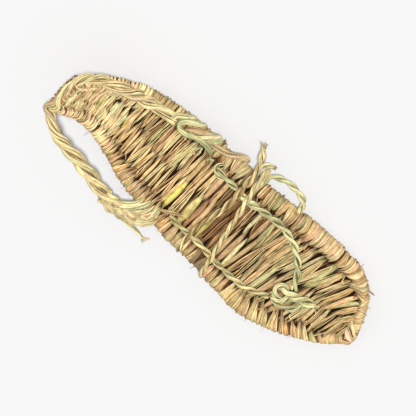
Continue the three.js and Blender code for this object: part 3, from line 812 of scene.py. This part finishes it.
def rim(mesh):
    """Leaves wrapped over the rim in bunches, from a point in the valley to the underside."""
    for side in (1, -1):
        places = rows(RIM_PITCH, TIP_RUN - TIP_OVERLAP, SOLE_LENGTH - 2)
        for at0, pitch in zip(places[:-1], np.diff(places)):
            rim_bunch(mesh, side, float(at0), float(pitch))


# Leaves round the tip of the toe, in bunches.
TIP_STEPS = 15
TIP_PITCH = 3.4
TIP_COUNT = 4
TIP_SPACING = 0.85
TIP_WIDTH = 0.62


def toe_outline():
    """The outline of the toe from left to right, and the length along it."""
    run = np.linspace(TIP_RUN, 0, 40)
    left, right = (np.stack([TOE_X - run, SOLE[side](run)], axis=1) for side in ("left", "right"))
    outline = np.concatenate([left, right[::-1]])
    return outline, lengths(outline)


def toe_tip(mesh):
    """Leaves wrapped round the tip of the toe, square to its outline."""
    outline, length = toe_outline()
    p = np.linspace(0, 1, TIP_STEPS)
    fan = np.interp(p, (0, 0.12, 0.32, 0.7, 1), (0.3, 0.6, 1, 1, 0.7))
    upper = np.where(RIM_HEIGHT(p) > 0.3, 1, 0)[:, None]
    for place_k in np.arange(0.5, length[-1], TIP_PITCH):
        base = pick("pale")
        bow, reach = normal(-0.8, 0.5), uniform(8, 11)
        for k in range(TIP_COUNT):
            where = place_k + TIP_SPACING * (k - 1.5) + normal(0, 0.15)
            edge = np.array([np.interp(where, length, outline[:, axis]) for axis in (0, 1)])
            inward = np.array(TIP_HEART) - edge
            inward /= np.linalg.norm(inward)
            aside = np.array([inward[1], -inward[0]])
            depth = (1 - RIM_ACROSS(p)) / (1 - RIM_ACROSS(0)) * reach
            bend = bow * arc(p) + wander(TIP_STEPS, 0.15)
            line = edge + depth[:, None] * inward + bend[:, None] * aside
            at = np.clip(TOE_X - line[:, 0], 0, TIP_RUN)
            width = (TIP_WIDTH * fan * uniform(0.8, 1.25))[:, None]
            level = np.maximum(SOLE["thick"](np.maximum(at, 5)) * RIM_HEIGHT(p), 0.3)
            proud = (0.5 + normal(0, 0.25)) * tuck(p) - 1.4 * (1 - tuck(p))
            round_up = upper * (proud[:, None] + WRAP_BOW * width * ARCH)
            flat = line[:, None, :] + (ROUND * width)[..., None] * aside
            rise = TOE_SPRING * (1 - at / TOE_SPRING_RUN) ** 2 + level
            points = np.concatenate([flat, (rise[:, None] + round_up)[..., None]], axis=2)
            tint = (base if rng.random() < 0.5 else pick("pale")) * uniform(0.74, 1.14)
            # Painted shade where each leaf comes out of the valley.
            strip(mesh, points, width[:, 0], tint, 0.4 + 0.6 * unit(p / 0.3))


# Leaves folded over the tip of the toe: x, y, z of the route, then half width and colour. The last
# two, narrow and dark, are painted shade in the crevices of the fold.
TIP_LEAVES = (
    (((130.6, 9.4, 13), (133, 7.8, 14.2), (136, 6, 14.4), (138.6, 4.9, 13.4), (140.2, 4.4, 11),
      (140.9, 4.3, 8.2)), 2.2, (228, 192, 160)),
    (((128.4, 17.2, 13), (131.6, 15, 14.4), (135.2, 12.4, 14.7), (138.2, 9.4, 13.7),
      (140.2, 7.6, 11.4), (141, 7, 8.6)), 1.5, (226, 200, 150)),
    (((130.4, -2.4, 12.6), (133.4, -0.6, 13.8), (136.6, 1.4, 13.8), (139, 3, 12.6),
      (140.6, 4.4, 9.6)), 1.2, (206, 166, 120)),
    (((131.6, 12.2, 14.6), (134.2, 11, 15), (137, 9.3, 14.6), (139, 8, 13.2)), 0.55, (74, 42, 26)),
    (((133.2, 1.2, 14.2), (136.4, 3, 14.5), (138.8, 4.4, 13.6), (140.4, 5.4, 11)),
     0.6, (96, 54, 32)),
)


def tip_fold(mesh):
    """Flat leaves that close the tip of the toe, and dark strips of painted shade in its crevices.
    """
    for route, wide, colour in TIP_LEAVES:
        line, _, along = spline([(*point, wide) for point in route], 0.8)
        side, rise = flat_frames(line)
        share = along / along[-1]
        width = wide * (0.5 + 0.5 * np.sin(np.pi * np.clip(share * 1.25, 0, 0.75)))
        bow = 0.3 * wide * ARCH
        flat = line[:, None, :] + (ROUND * width[:, None])[..., None] * side[:, None, :]
        points = flat + bow[..., None] * rise[:, None, :]
        # Painted shade at each leaf's inner end.
        strip(mesh, points, width, linear(colour) * CAST, 0.45 + 0.55 * unit(share * 4))


# Straws over the back edge: shares of the way and of the thickness, distance from the edge.
FRINGE_STEPS = 13
FRINGE_PITCH = 1.3
FRINGE_EDGE = 0.95
FRINGE_COURSE = (
    (0, 0.74, 3.4), (0.25, 0.98, 1.9), (0.45, 0.95, 0.7), (0.6, 0.55, 0.2), (0.75, 0.15, 0.8),
    (1, 0.04, 4),
)


def fringe(mesh):
    """Straws turned over the back edge of the heel."""
    p = np.linspace(0, 1, FRINGE_STEPS)
    height, back = (curve(p) for curve in columns(FRINGE_COURSE))
    outer = unit((p - 0.25) / 0.2)[:, None, None]
    bow = 0.7 * ARCH
    nose = np.where((height > 0.1) & (height < 0.9), 0.8, 0.0)[:, None]
    over_top = np.where(height[:, None] > 0.3, 1, -0.1)
    # Painted shade where each straw comes out of the weave.
    shade = 0.7 + 0.3 * unit(p / 0.2)
    span = 2 * float(half_width(BED_TO))
    for place_k in np.linspace(-FRINGE_EDGE, FRINGE_EDGE, int(span / FRINGE_PITCH)):
        at = np.clip(SOLE_LENGTH - back * uniform(0.6, 1.3), 0.2, SOLE_LENGTH - 0.2)
        across = place_k + normal(0, 0.05) + wander(FRINGE_STEPS, 0.04)
        across = np.clip(across, -FRINGE_EDGE, FRINGE_EDGE)
        thick = SOLE["thick"](np.minimum(at, BED_TO))
        width = np.full(FRINGE_STEPS, 0.6 * FRINGE_PITCH) * uniform(0.6, 1.2)
        half = half_width(np.minimum(at, SOLE_LENGTH - 1.5))[:, None]
        lift = 0.3 + normal(0, 0.3)
        raised = height[:, None] * thick[:, None] + (lift + bow) * over_top
        spread = np.clip(across[:, None] + ROUND * width[:, None] / half, -1, 1)
        points = on_sole(at[:, None], spread, np.maximum(raised, LOWEST))
        points[..., 0] -= nose * (uniform(0, 1) + bow)
        tint = (pick("heel") * (1 - outer) + pick("fringe") * outer) * uniform(0.75, 1.15)
        strip(mesh, points, width, tint, shade)


TREAD_STEPS = 9
TREAD_EDGE = 0.74


def tread(mesh):
    """The underside: straws across the foot between the wraps, flat on the floor."""
    t = np.linspace(0, 1, TREAD_STEPS)
    swell = np.sin(np.pi * t)
    hump = swell ** 0.5
    places = rows(BED_PITCH, 5.0, BED_TO)
    pitches = np.diff(places)
    for side in (1, -1):
        for at0, pitch in zip(places[:-1] + (0 if side > 0 else 0.5 * pitches), pitches):
            inner = -0.06 + normal(0, 0.03)
            across = side * (inner + (TREAD_EDGE - inner) * t)
            for k in range(2):
                apart = (k - 0.5) * 0.5 * pitch * (0.5 + 0.5 * swell)
                at = at0 + apart + wander(TREAD_STEPS, 0.25)
                width = 0.3 * pitch * uniform(0.85, 1.15) * (0.6 + 0.4 * swell)
                height = 1.0 + 0.9 * (1 - hump) + uniform(0, 0.2)
                # Painted shade where each straw dives into the weave.
                blade(mesh, at, across, height, width, -0.7, pick("weave"), 0.0, 0.5 + 0.5 * hump)


# The inside, painted dark as the shade between straws: where its part under the bed ends, and its
# depths and heights.
CORE_BED = 0.74
CORE_DEPTH = 2.8
CORE_RIM_DEPTH = 1.9
CORE_TOP = 2.4
CORE_UNDERSIDE = 2.0


def core(mesh):
    """The inside of the weave, seen only between straws and painted dark as the shade there."""
    at = np.concatenate([[0.8, 1.8], np.linspace(3, SOLE_LENGTH - 6, 110)])
    over = np.linspace(-0.94, 0.94, 31)
    a, u = np.meshgrid(at, over, indexing="ij")
    u = u * np.interp(a, (0, 6, 20), (0.6, 0.76, 1.0))
    depth = np.where(np.abs(u) > CORE_BED, CORE_RIM_DEPTH, CORE_DEPTH)
    top = np.maximum(top_height(a, u) - depth, CORE_TOP)
    across = np.concatenate([u, u[:, ::-1]], axis=1)
    height = np.concatenate([top, np.full_like(top, CORE_UNDERSIDE)], axis=1)
    along = np.concatenate([a, a], axis=1)
    # Painted shade: the inside is darkest under the bed and less dark under the rim.
    tint = np.where(np.abs(across)[..., None] > CORE_BED, linear(LINING_SHADE), linear(CORE_SHADE))
    mesh.grid(on_sole(along, across, height), tint, along, over.size * across, closed=True)


def spline(route, step):
    """Points every step along a smooth line through the route, with radii and lengths."""
    route = np.asarray(route, float)
    chords = np.sqrt(np.linalg.norm(np.diff(route[:, :3], axis=0), axis=1))
    knots = np.concatenate([[0], np.cumsum(chords)])
    slopes = np.diff(route, axis=0) / chords[:, None]
    weight = (chords[1:] / (chords[1:] + chords[:-1]))[:, None]
    inner = weight * slopes[:-1] + (1 - weight) * slopes[1:]
    tangents = np.concatenate([slopes[:1], inner, slopes[-1:]])
    fine = np.linspace(0, knots[-1], 40 * len(route))
    line = cubic(knots, route, tangents, fine)
    length = lengths(line[:, :3])
    even = np.linspace(0, length[-1], max(4, int(round(length[-1] / step)) + 1))
    points = np.stack([np.interp(even, length, line[:, k]) for k in range(4)], axis=1)
    return points[:, :3], points[:, 3], even


def frames(points):
    """Tangents and two cross directions that do not spin along a line."""
    tangents = np.gradient(points, axis=0)
    tangents /= np.linalg.norm(tangents, axis=1, keepdims=True)
    guide = UP if abs(tangents[0][2]) < 0.9 else np.array([1.0, 0.0, 0.0])
    square = guide - tangents[0] * (guide @ tangents[0])
    normals = [square / np.linalg.norm(square)]
    for tangent in tangents[1:]:
        square = normals[-1] - tangent * (normals[-1] @ tangent)
        normals.append(square / np.linalg.norm(square))
    normals = np.array(normals)
    return tangents, normals, np.cross(tangents, normals)


def flat_frames(points):
    """Directions sideways and upwards from a line that lies nearly flat."""
    tangents, _, _ = frames(points)
    side = np.cross(UP, tangents)
    side /= np.linalg.norm(side, axis=1, keepdims=True)
    return side, np.cross(tangents, side)


# Painted shade in the creases of a cord by its plies and of a ply by its strands: darkest place,
# end, how dark.
CORD_CREASE_SHADE = {2: (0.28, 0.68, 0.14), 3: (0.36, 0.76, 0.44)}
PLY_CREASE_SHADE = {3: (0.3, 0.85, 0.6), 9: (0.6, 0.92, 0.62)}
BRAID_CREASE_SHADE = (0.1, 0.9, 0.5)
BRAID_STRANDS = 3
BRAID_STRAWS = 5
# The painted shade in the creases is brown.
CREASE_SHADE_CAST = np.array([0.88, 1.02, 1.3])
# How dull the dullest straw of a cord is, for each number of plies.
DULLEST = {1: 0.6, 2: 0.72, 3: 0.84}
# Places of plies in a cord and of strands in a ply, and their radii, as shares of its radius.
PLIES = {1: (0.0, 1.0), 2: (0.5, 0.57), 3: (0.56, 0.47)}
STRANDS = {3: (0.45, 0.62), 9: (0.74, 0.29)}
TUBE_ENDS = 0.35
# The heel strap swells and its twist slips along it, from lump to lump.
LUMP = 22.0
STRAP_SWELL = 0.06
STRAP_SLIP = 3.5


def crease_shade(ring, line, radius, deep, proud, darkest):
    """Painted shade on a strand where it turns in towards the middle of its cord or ply."""
    depth = np.linalg.norm(ring - line[:, None, :], axis=2) / radius[:, None]
    share = unit((depth - deep) / (proud - deep))
    return darkest + (1 - darkest) * share * share * (3 - 2 * share)


def tube(mesh, points, radius, along, tint, sides=6, hearts=()):
    """A strand round a line, with its ends drawn in and painted shade towards the middles of its
    cord.
    """
    _, normals, binormals = frames(points)
    angle = np.linspace(0, 2 * np.pi, sides, endpoint=False)[None, :]
    ends = np.ones(len(points))
    ends[0] = ends[-1] = TUBE_ENDS
    reach = (np.broadcast_to(radius, len(points)) * ends)[:, None, None]
    cos, sin = np.cos(angle)[..., None], np.sin(angle)[..., None]
    ring = points[:, None, :] + reach * (cos * normals[:, None, :] + sin * binormals[:, None, :])
    shade = np.ones(ring.shape[:2])
    # Painted shade in the creases of the strand's cord and ply.
    for heart in hearts:
        shade = shade * crease_shade(ring, *heart)
    tint = tint * shade[..., None] ** CREASE_SHADE_CAST
    mesh.grid(ring, tint, along[:, None], angle * np.mean(radius), closed=True)


def uneven(along, size):
    """A random swell and shrink along the heel strap, a lump's length apart."""
    knots = np.arange(-LUMP, along[-1] + 2 * LUMP, LUMP)
    return smooth(knots, strap_rng.normal(0, size, len(knots)))(along)


def twisted(mesh, route, pitch, strands, palette, step, phase=0.0, plies=2):
    """A laid cord: plies wound round each other, each of several straws. One ply makes a bunch."""
    points, radius, along = spline(route, step)
    _, normals, binormals = frames(points)

    def spoke(angle):
        return np.cos(angle)[:, None] * normals + np.sin(angle)[:, None] * binormals

    wound = along
    if plies == 3:
        radius = radius * (1 + uneven(along, STRAP_SWELL))
        wound = along + uneven(along, STRAP_SLIP)
    turn = phase - 2 * np.pi * wound / pitch
    apart, ply_share = PLIES[plies]
    off, straw_share = STRANDS[strands]
    for ply in range(plies):
        a = turn + 2 * np.pi * ply / plies
        ply_line = points + (apart * radius)[:, None] * spoke(a)
        ply_radius = ply_share * radius
        tone = uniform(0.9, 1.06)
        # Painted shade in the creases of the ply and of the cord.
        hearts = [(ply_line, ply_radius, *PLY_CREASE_SHADE[strands])]
        if plies > 1:
            hearts.append((points, radius, *CORD_CREASE_SHADE[plies]))
        for strand in range(strands):
            b = a * 0.5 + 2 * np.pi * strand / strands + normal(0, 0.25)
            line = ply_line + (off * ply_radius)[:, None] * spoke(b)
            thick = ply_radius * straw_share * uniform(0.8, 1.2) * (1 + wander(len(along), 0.1))
            # A slow random change of tone along each straw.
            shade = 0.88 + 0.12 * np.sin(along * uniform(0.2, 0.5) + uniform(0, 6))
            tint = pick(palette) * tone * uniform(DULLEST[plies], 1.16)
            tint = tint[None, None, :] * shade[:, None, None]
            tube(mesh, line, thick, along, tint, hearts=hearts)


def braid(mesh, route, width, pitch, palette, step):
    """A plait: strands that cross from side to side, over and under."""
    points, radius, along = spline(route, step)
    side, rise = flat_frames(points)
    for k in range(BRAID_STRANDS):
        a = 2 * np.pi * (along / pitch + k / BRAID_STRANDS)
        swing = (width * radius * np.sin(a))[:, None]
        bob = (0.34 * radius * np.sin(2 * a))[:, None]
        line = points + swing * side + bob * rise
        # Painted shade in the creases between the plait's strands.
        hearts = [(line, 0.6 * radius, *BRAID_CREASE_SHADE)]
        for part in np.linspace(-1, 1, BRAID_STRAWS):
            offset = 0.44 * part * radius[:, None] * side
            offset = offset + 0.1 * normal() * radius[:, None] * rise
            thick = 0.22 * radius * uniform(0.8, 1.25)
            tint = pick(palette) * uniform(0.6, 1.1)
            tube(mesh, line + offset, thick, along, tint, hearts=hearts)


def hairs(mesh, roots, directions, sizes, palette, width):
    """Short stray straw ends: narrow ribbons that taper."""
    t = np.linspace(0, 1, 5)
    for root, direction, length in zip(roots, directions, sizes):
        direction = direction / np.linalg.norm(direction)
        bend = normal(0, 0.25, 3)
        line = root + np.outer(t, direction) * length + np.outer(t ** 2, bend) * length
        across = np.cross(direction, normal(0, 1, 3))
        across /= np.linalg.norm(across)
        wide = width * uniform(0.6, 1.5) * (1 - 0.6 * t)
        points = line[:, None, :] + np.array([-1, 1])[None, :, None] * wide[:, None, None] * across
        tint = pick(palette) * uniform(0.6, 1.0)
        mesh.grid(points, tint, (t * length)[:, None], np.array([[-width, width]]))


def straw_material(name, gloss, fibre, shine=0.3):
    """Dry straw: the blade's tint, which also carries painted shade, fine streaks and grooves along
    it, and a satin skin.
    """
    material = bpy.data.materials.new(name)
    material.use_nodes = True
    nodes, links = material.node_tree.nodes, material.node_tree.links

    def feed(node, inputs):
        """Sets inputs to values, or links them to the outputs of other nodes."""
        for key, value in inputs.items():
            if isinstance(value, bpy.types.NodeSocket):
                links.new(value, node.inputs[key])
            else:
                node.inputs[key].default_value = value
        return node

    def add(kind, inputs, **settings):
        node = nodes.new("ShaderNode" + kind)
        for key, value in settings.items():
            setattr(node, key, value)
        return feed(node, inputs)

    def noise(scale, detail):
        place = add("VectorMath", {0: grain.outputs["Vector"], 1: scale}, operation="MULTIPLY")
        inputs = {"Vector": place.outputs["Vector"], "Scale": 1.0, "Detail": detail}
        return add("TexNoise", inputs).outputs["Fac"]

    def multiplied(first, second, share):
        # Inputs 6 and 7 and output 2 of the node are its colours.
        inputs = {"Factor": share, 6: first, 7: second}
        return add("Mix", inputs, data_type="RGBA", blend_type="MULTIPLY").outputs[2]

    tint = add("Attribute", {}, attribute_name="tint")
    grain = add("Attribute", {}, attribute_name="grain")
    streak = noise((fibre, 0.09, 1.0), 4.0)
    blotch = noise((0.3, 0.2, 3.0), 2.0)
    streak_tone = add("MapRange", {
        "Value": streak, "From Min": 0.3, "From Max": 0.7, "To Min": 0.6, "To Max": 1.2,
    })
    blotch_tone = add("ValToRGB", {"Fac": blotch})
    stained, clean = blotch_tone.color_ramp.elements
    stained.position, stained.color = 0.3, (0.6, 0.5, 0.4, 1)
    clean.position, clean.color = 0.56, (1.1, 1.09, 1.04, 1)
    toned = multiplied(tint.outputs["Color"], streak_tone.outputs["Result"], 1.0)
    weathered = multiplied(toned, blotch_tone.outputs["Color"], 0.8)
    rough = add("MapRange", {"Value": streak, "To Min": gloss, "To Max": gloss + 0.25})
    bump = add("Bump", {"Height": streak, "Strength": 0.6, "Distance": 0.25 * MM})
    feed(nodes["Principled BSDF"], {
        "Base Color": weathered,
        "Roughness": rough.outputs["Result"],
        "Normal": bump.outputs["Normal"],
        "Specular IOR Level": shine,
    })
    return material


def swollen(route, factor):
    """The route of a cord that is drawn thicker than its solid."""
    return [(*point[:3], factor * point[3]) for point in route]


def place(piece, slot, *nodes):
    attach(piece, "root")
    if nodes:
        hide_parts(*nodes)


def metres(route, step):
    """Points along a route and its length, in metres."""
    points, _, along = spline(route, step)
    return [tuple(p * MM) for p in points], float(along[-1] * MM)


# Camera.
across_view = Vector((0, math.cos(CAMERA_TILT), -math.sin(CAMERA_TILT)))
back = Vector((0, math.sin(CAMERA_TILT), math.cos(CAMERA_TILT)))
toe = Vector((1, 0, 0))
right = math.cos(CAMERA_ROLL) * toe + math.sin(CAMERA_ROLL) * across_view
up = -math.sin(CAMERA_ROLL) * toe + math.cos(CAMERA_ROLL) * across_view
camera = bpy.data.objects.new("camera", bpy.data.cameras.new("camera"))
bpy.context.collection.objects.link(camera)
camera.data.sensor_width = SENSOR
camera.data.lens = SENSOR * CAMERA_FAR / VIEW_WIDTH
camera.data.clip_end = CAMERA_CLIP
turn = Matrix((right, up, back)).transposed().to_4x4()
camera.matrix_world = Matrix.Translation((Vector(CAMERA_AIM) + back * CAMERA_FAR) * MM) @ turn
bpy.context.scene.camera = camera

# Materials.
woven = straw_material("woven_straw", 0.5, 2.2)
thick_cord = straw_material("thick_cord_straw", 0.5, 2.5)
thin_cord = straw_material("thin_cord_straw", 0.5, 3.0)
# A matte straw for the inside, whose dark colour is painted shade.
core_shade = straw_material("core_shade", 0.8, 1.5, 0.05)

# Cords.
THIN_PITCH = 22.0
THIN_STRANDS = 3
THIN_STEP = 0.8
KNOT_SWELL = 1.25


def thin(mesh, route, palette, phase=0.0):
    twisted(mesh, route, THIN_PITCH, THIN_STRANDS, palette, THIN_STEP, phase)


tail = Mesher()
thin(tail, swollen(KNOT_TAIL, KNOT_SWELL), "green")
tail = tail.build("toe_knot_tail", thin_cord)
place(tail, "thin_cord")
for name, route, swell, palette, far_end, beside in (
    ("side_loop", SIDE_LOOP, 1.0, "green", "object", []),
    ("cord_end", CORD_END, 1.0, "end", "bare", []),
    ("toe_knot", KNOT_LOOP, KNOT_SWELL, "green", "bare", [tail]),
):
    mesh = Mesher()
    route = swollen(route, swell)
    thin(mesh, route, palette)
    piece = mesh.build(name + "_cord", thin_cord)
    place(piece, "thin_cord", name)
    path, length = metres(route, THIN_STEP)

# The left lengthwise cord is fuller in front of the instep cords, from this point of its route.
FULL_FROM = 4
side_cord_left = (*SIDE_CORD_LEFT[:FULL_FROM], *swollen(SIDE_CORD_LEFT[FULL_FROM:], KNOT_SWELL))
mesh = Mesher()
thin(mesh, side_cord_left, "green")
thin(mesh, SIDE_CORD_RIGHT, "thin")
thin(mesh, INSTEP_FRONT, "end")
thin(mesh, END_STUB, "thin")
thin(mesh, EYE, "thin")
overlap = math.dist(REAR_START[:3], CORD_END[0][:3])
thin(mesh, (REAR_START, *INSTEP_REAR), "rear", phase=2 * math.pi * overlap / THIN_PITCH)
place(mesh.build("instep_cords_straw", thin_cord), "thin_cord", "instep_cords")

# Heel strap: laid in three plies, plaited where it comes to the right rim, with its hitches.
STRAP_PITCH = 45.0
STRAP_STEP = 1.4
BRAID_PITCH = 27.0
BRAID_WIDTH = 0.62
HITCH_PITCH = 46.0
HITCH_STEP = 1.2
HITCH_TAPER = (0.45, 0.86, 1.0)
THICK_STRANDS = 9
# On the sole the strap is drawn fuller than its solid, and further out round the heel.
FULLER = 1.1
FULLER_AT_HEEL = 1.4
FULLER_FROM = 225
OUT_FROM = 215
OUT_RUN = 30
OUT_BY = 0.07
bound = []
for at, across, height, radius in STRAP_BOUND:
    across = across + OUT_BY * unit((at - OUT_FROM) / OUT_RUN)
    fuller = FULLER_AT_HEEL if at > FULLER_FROM else FULLER
    bound.append((*on_sole(at, across, height), fuller * radius))
strap = [*bound, STRAP_CORNER, *STRAP_FREE]
# Points of the strap that are laid, and the last ones, which are plaited. They overlap.
LAID = slice(3, -4)
PLAITED = slice(-6, None)
mesh = Mesher()
twisted(mesh, strap[LAID], STRAP_PITCH, THICK_STRANDS, "strap", STRAP_STEP, plies=3)
braid(mesh, strap[PLAITED], BRAID_WIDTH, BRAID_PITCH, "strap", HITCH_STEP)
for route, radius, palette in HITCHES:
    last = len(route) - 1
    tapered = [(*p, radius * HITCH_TAPER[min(i, last - i, 2)]) for i, p in enumerate(route)]
    phase = uniform(0, 6)
    twisted(mesh, tapered, HITCH_PITCH, THICK_STRANDS, palette, HITCH_STEP, phase, plies=1)
place(mesh.build("heel_strap_straw", thick_cord), "thick_cord", "heel_strap")

# Woven sole.
for name, material, parts, stands_for in (
    ("sole_core", core_shade, (core,), ()),
    ("woven_bed", woven, (lower_straws, bed, strays), ("sole",)),
    ("woven_rim", woven, (rim, toe_tip, tip_fold, fringe, tread), ()),
):
    mesh = Mesher()
    for part in parts:
        part(mesh)
    place(mesh.build(name, material), "woven_straw", *stands_for)

# Stray ends.
STUB_STEPS = 5
STUB_RADIUS = 0.55
STUB_LENGTH = 5.0
FRAY_WIDTH = 0.4
FRAY_SPREAD = 0.28
FRAY_ROOTS = 0.45
RIM_HAIRS = 34
RIM_HAIR_WIDTH = 0.25
mesh = Mesher()
for start, end in STUBS:
    line = np.linspace(start, end, STUB_STEPS)
    tube(mesh, line, STUB_RADIUS, np.linspace(0, STUB_LENGTH, STUB_STEPS), pick("brown"), sides=5)
for root, direction, count, length, palette in FRAYS:
    direction = np.asarray(direction, float) / np.linalg.norm(direction)
    spread = direction + normal(0, FRAY_SPREAD, (count, 3))
    roots = np.asarray(root) + normal(0, FRAY_ROOTS, (count, 3))
    hairs(mesh, roots, spread, length * uniform(0.5, 1.1, count), palette, FRAY_WIDTH)
for side in (1, -1):
    at = uniform(8, SOLE_LENGTH - 20, RIM_HAIRS)
    roots = on_sole(at, side * 0.97, 0.6 * SOLE["thick"](at))
    along_foot = normal(0.2, 0.6, RIM_HAIRS)
    upwards = normal(0.2, 0.4, RIM_HAIRS)
    out = np.stack([along_foot, side * np.ones(RIM_HAIRS), upwards], axis=1)
    hairs(mesh, roots, out, uniform(1.5, 4.5, RIM_HAIRS), "rim", RIM_HAIR_WIDTH)
place(mesh.build("stray_ends", woven), "woven_straw")

# Floor and light.
bpy.ops.mesh.primitive_plane_add(size=FLOOR_SIZE)
floor = bpy.context.object
floor.name = "floor"
paper = bpy.data.materials.new("floor_paper")
paper.use_nodes = True
shader = paper.node_tree.nodes["Principled BSDF"]
shader.inputs["Base Color"].default_value = (FLOOR_GREY, FLOOR_GREY, FLOOR_GREY, 1)
shader.inputs["Roughness"].default_value = FLOOR_ROUGHNESS
floor.data.materials.append(paper)

world = bpy.data.worlds.new("studio")
bpy.context.scene.world = world
world.use_nodes = True
sky = world.node_tree.nodes["Background"]
sky.inputs["Color"].default_value = (1, 1, 1, 1)
sky.inputs["Strength"].default_value = SKY_STRENGTH

sun = bpy.data.objects.new("key", bpy.data.lights.new("key", "SUN"))
sun.data.energy = SUN_STRENGTH
sun.data.angle = SUN_ANGLE
sun.rotation_euler = Vector(SUN_TOWARDS).to_track_quat("Z", "Y").to_euler()
bpy.context.collection.objects.link(sun)
bpy.context.scene.view_settings.view_transform = "Standard"
